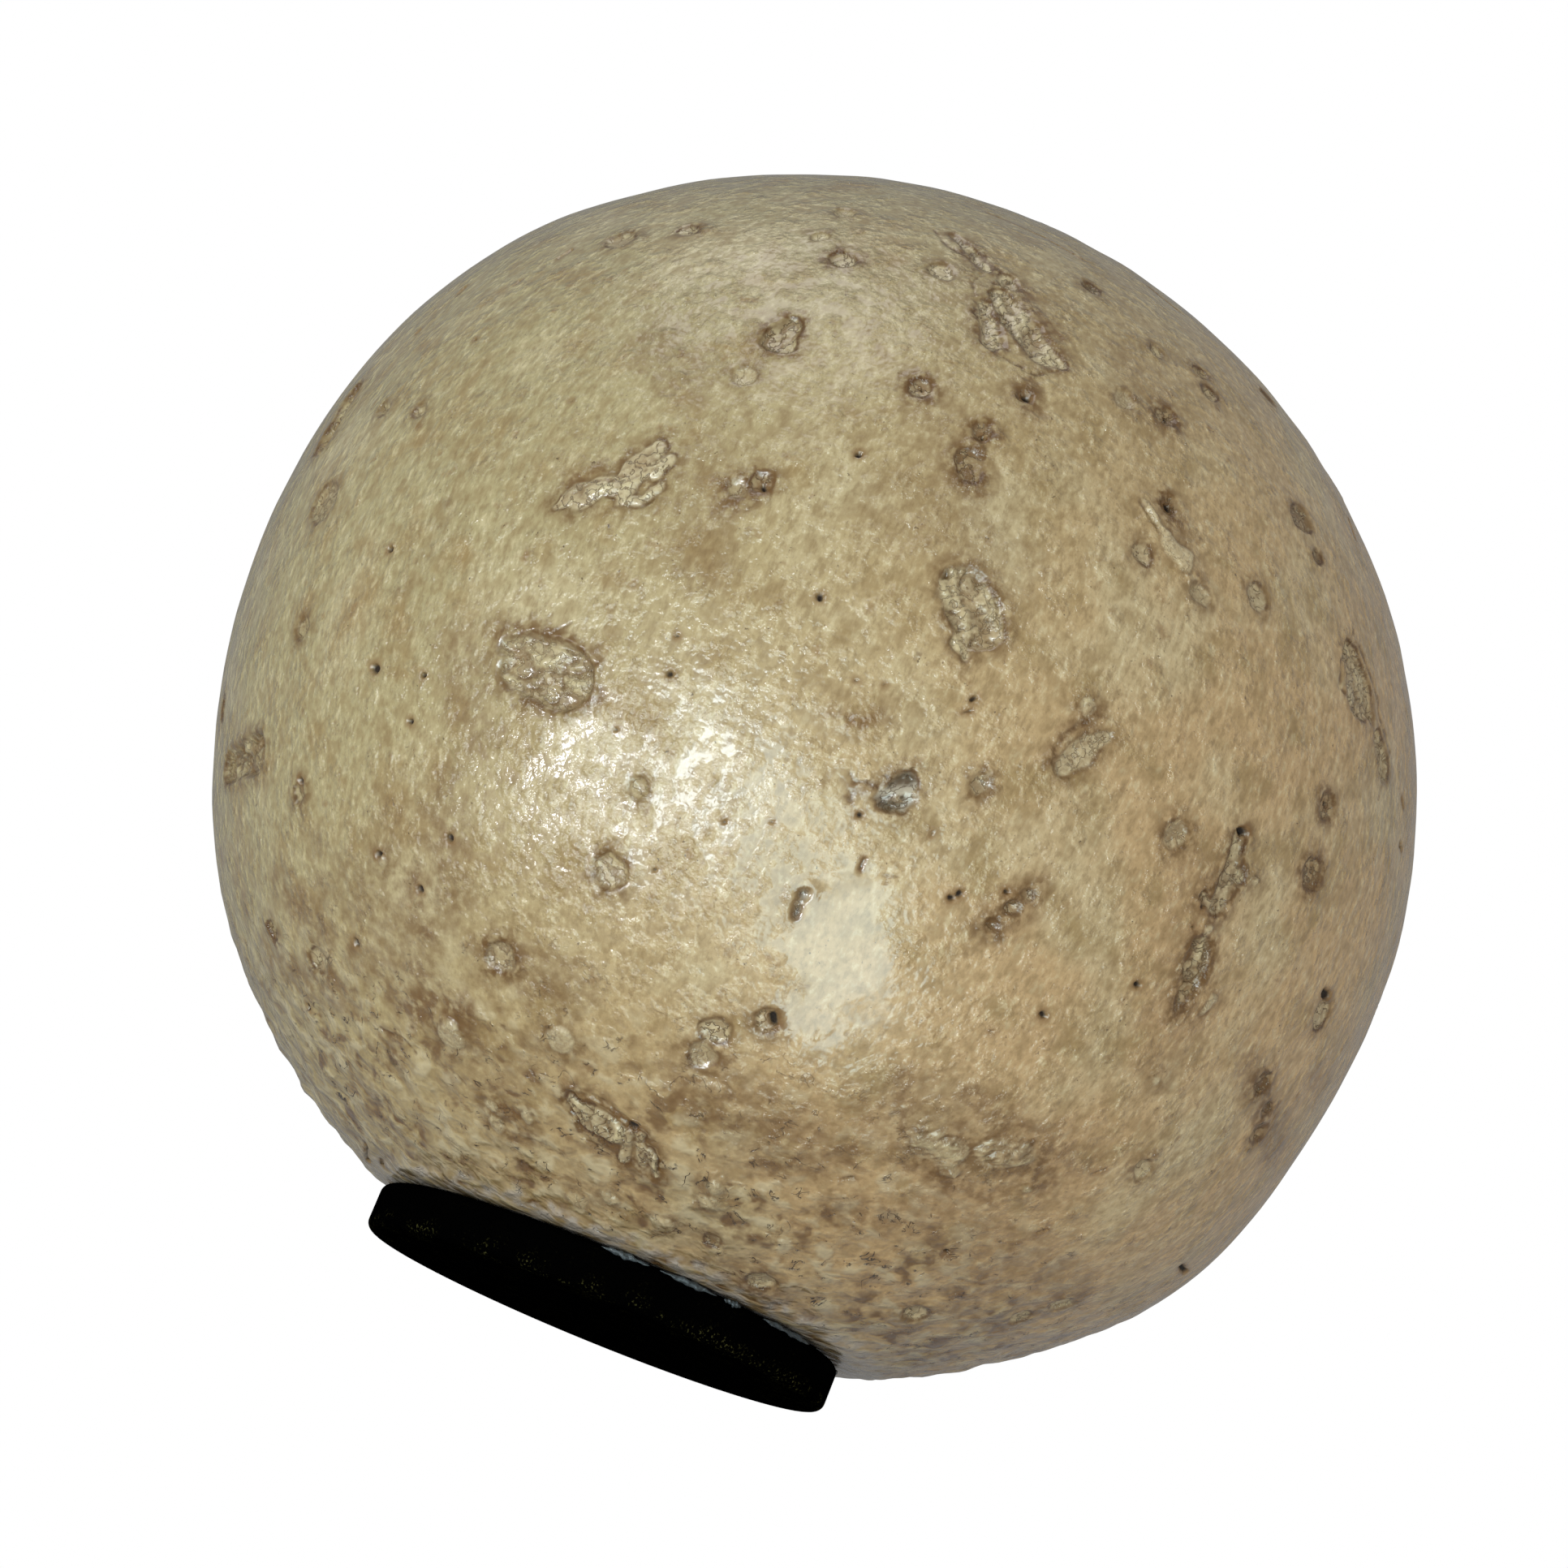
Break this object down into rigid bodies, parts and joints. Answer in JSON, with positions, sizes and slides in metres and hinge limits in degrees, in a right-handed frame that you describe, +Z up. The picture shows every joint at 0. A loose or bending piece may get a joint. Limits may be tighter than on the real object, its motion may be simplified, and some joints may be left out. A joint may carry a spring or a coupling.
{
  "type": "decorative sphere",
  "caption": "Hand-made ball of tan crater-glazed stoneware, slightly out of round, glued to a low black disc foot.",
  "frame": {"origin": "centre of the foot's flat underside", "axes": "+Z up through the ball, -Z out of the foot's underside; the pictured side faces -Y, and the ball leans out above the foot towards +X"},
  "size_m": [0.2002, 0.2004, 0.1961],
  "materials": {
    "crater_glaze": "gloss",
    "black_foot": "matte"
  },
  "bodies": {
    "root": {"ball": "crater_glaze", "foot": "black_foot"}
  },
  "joints": []
}
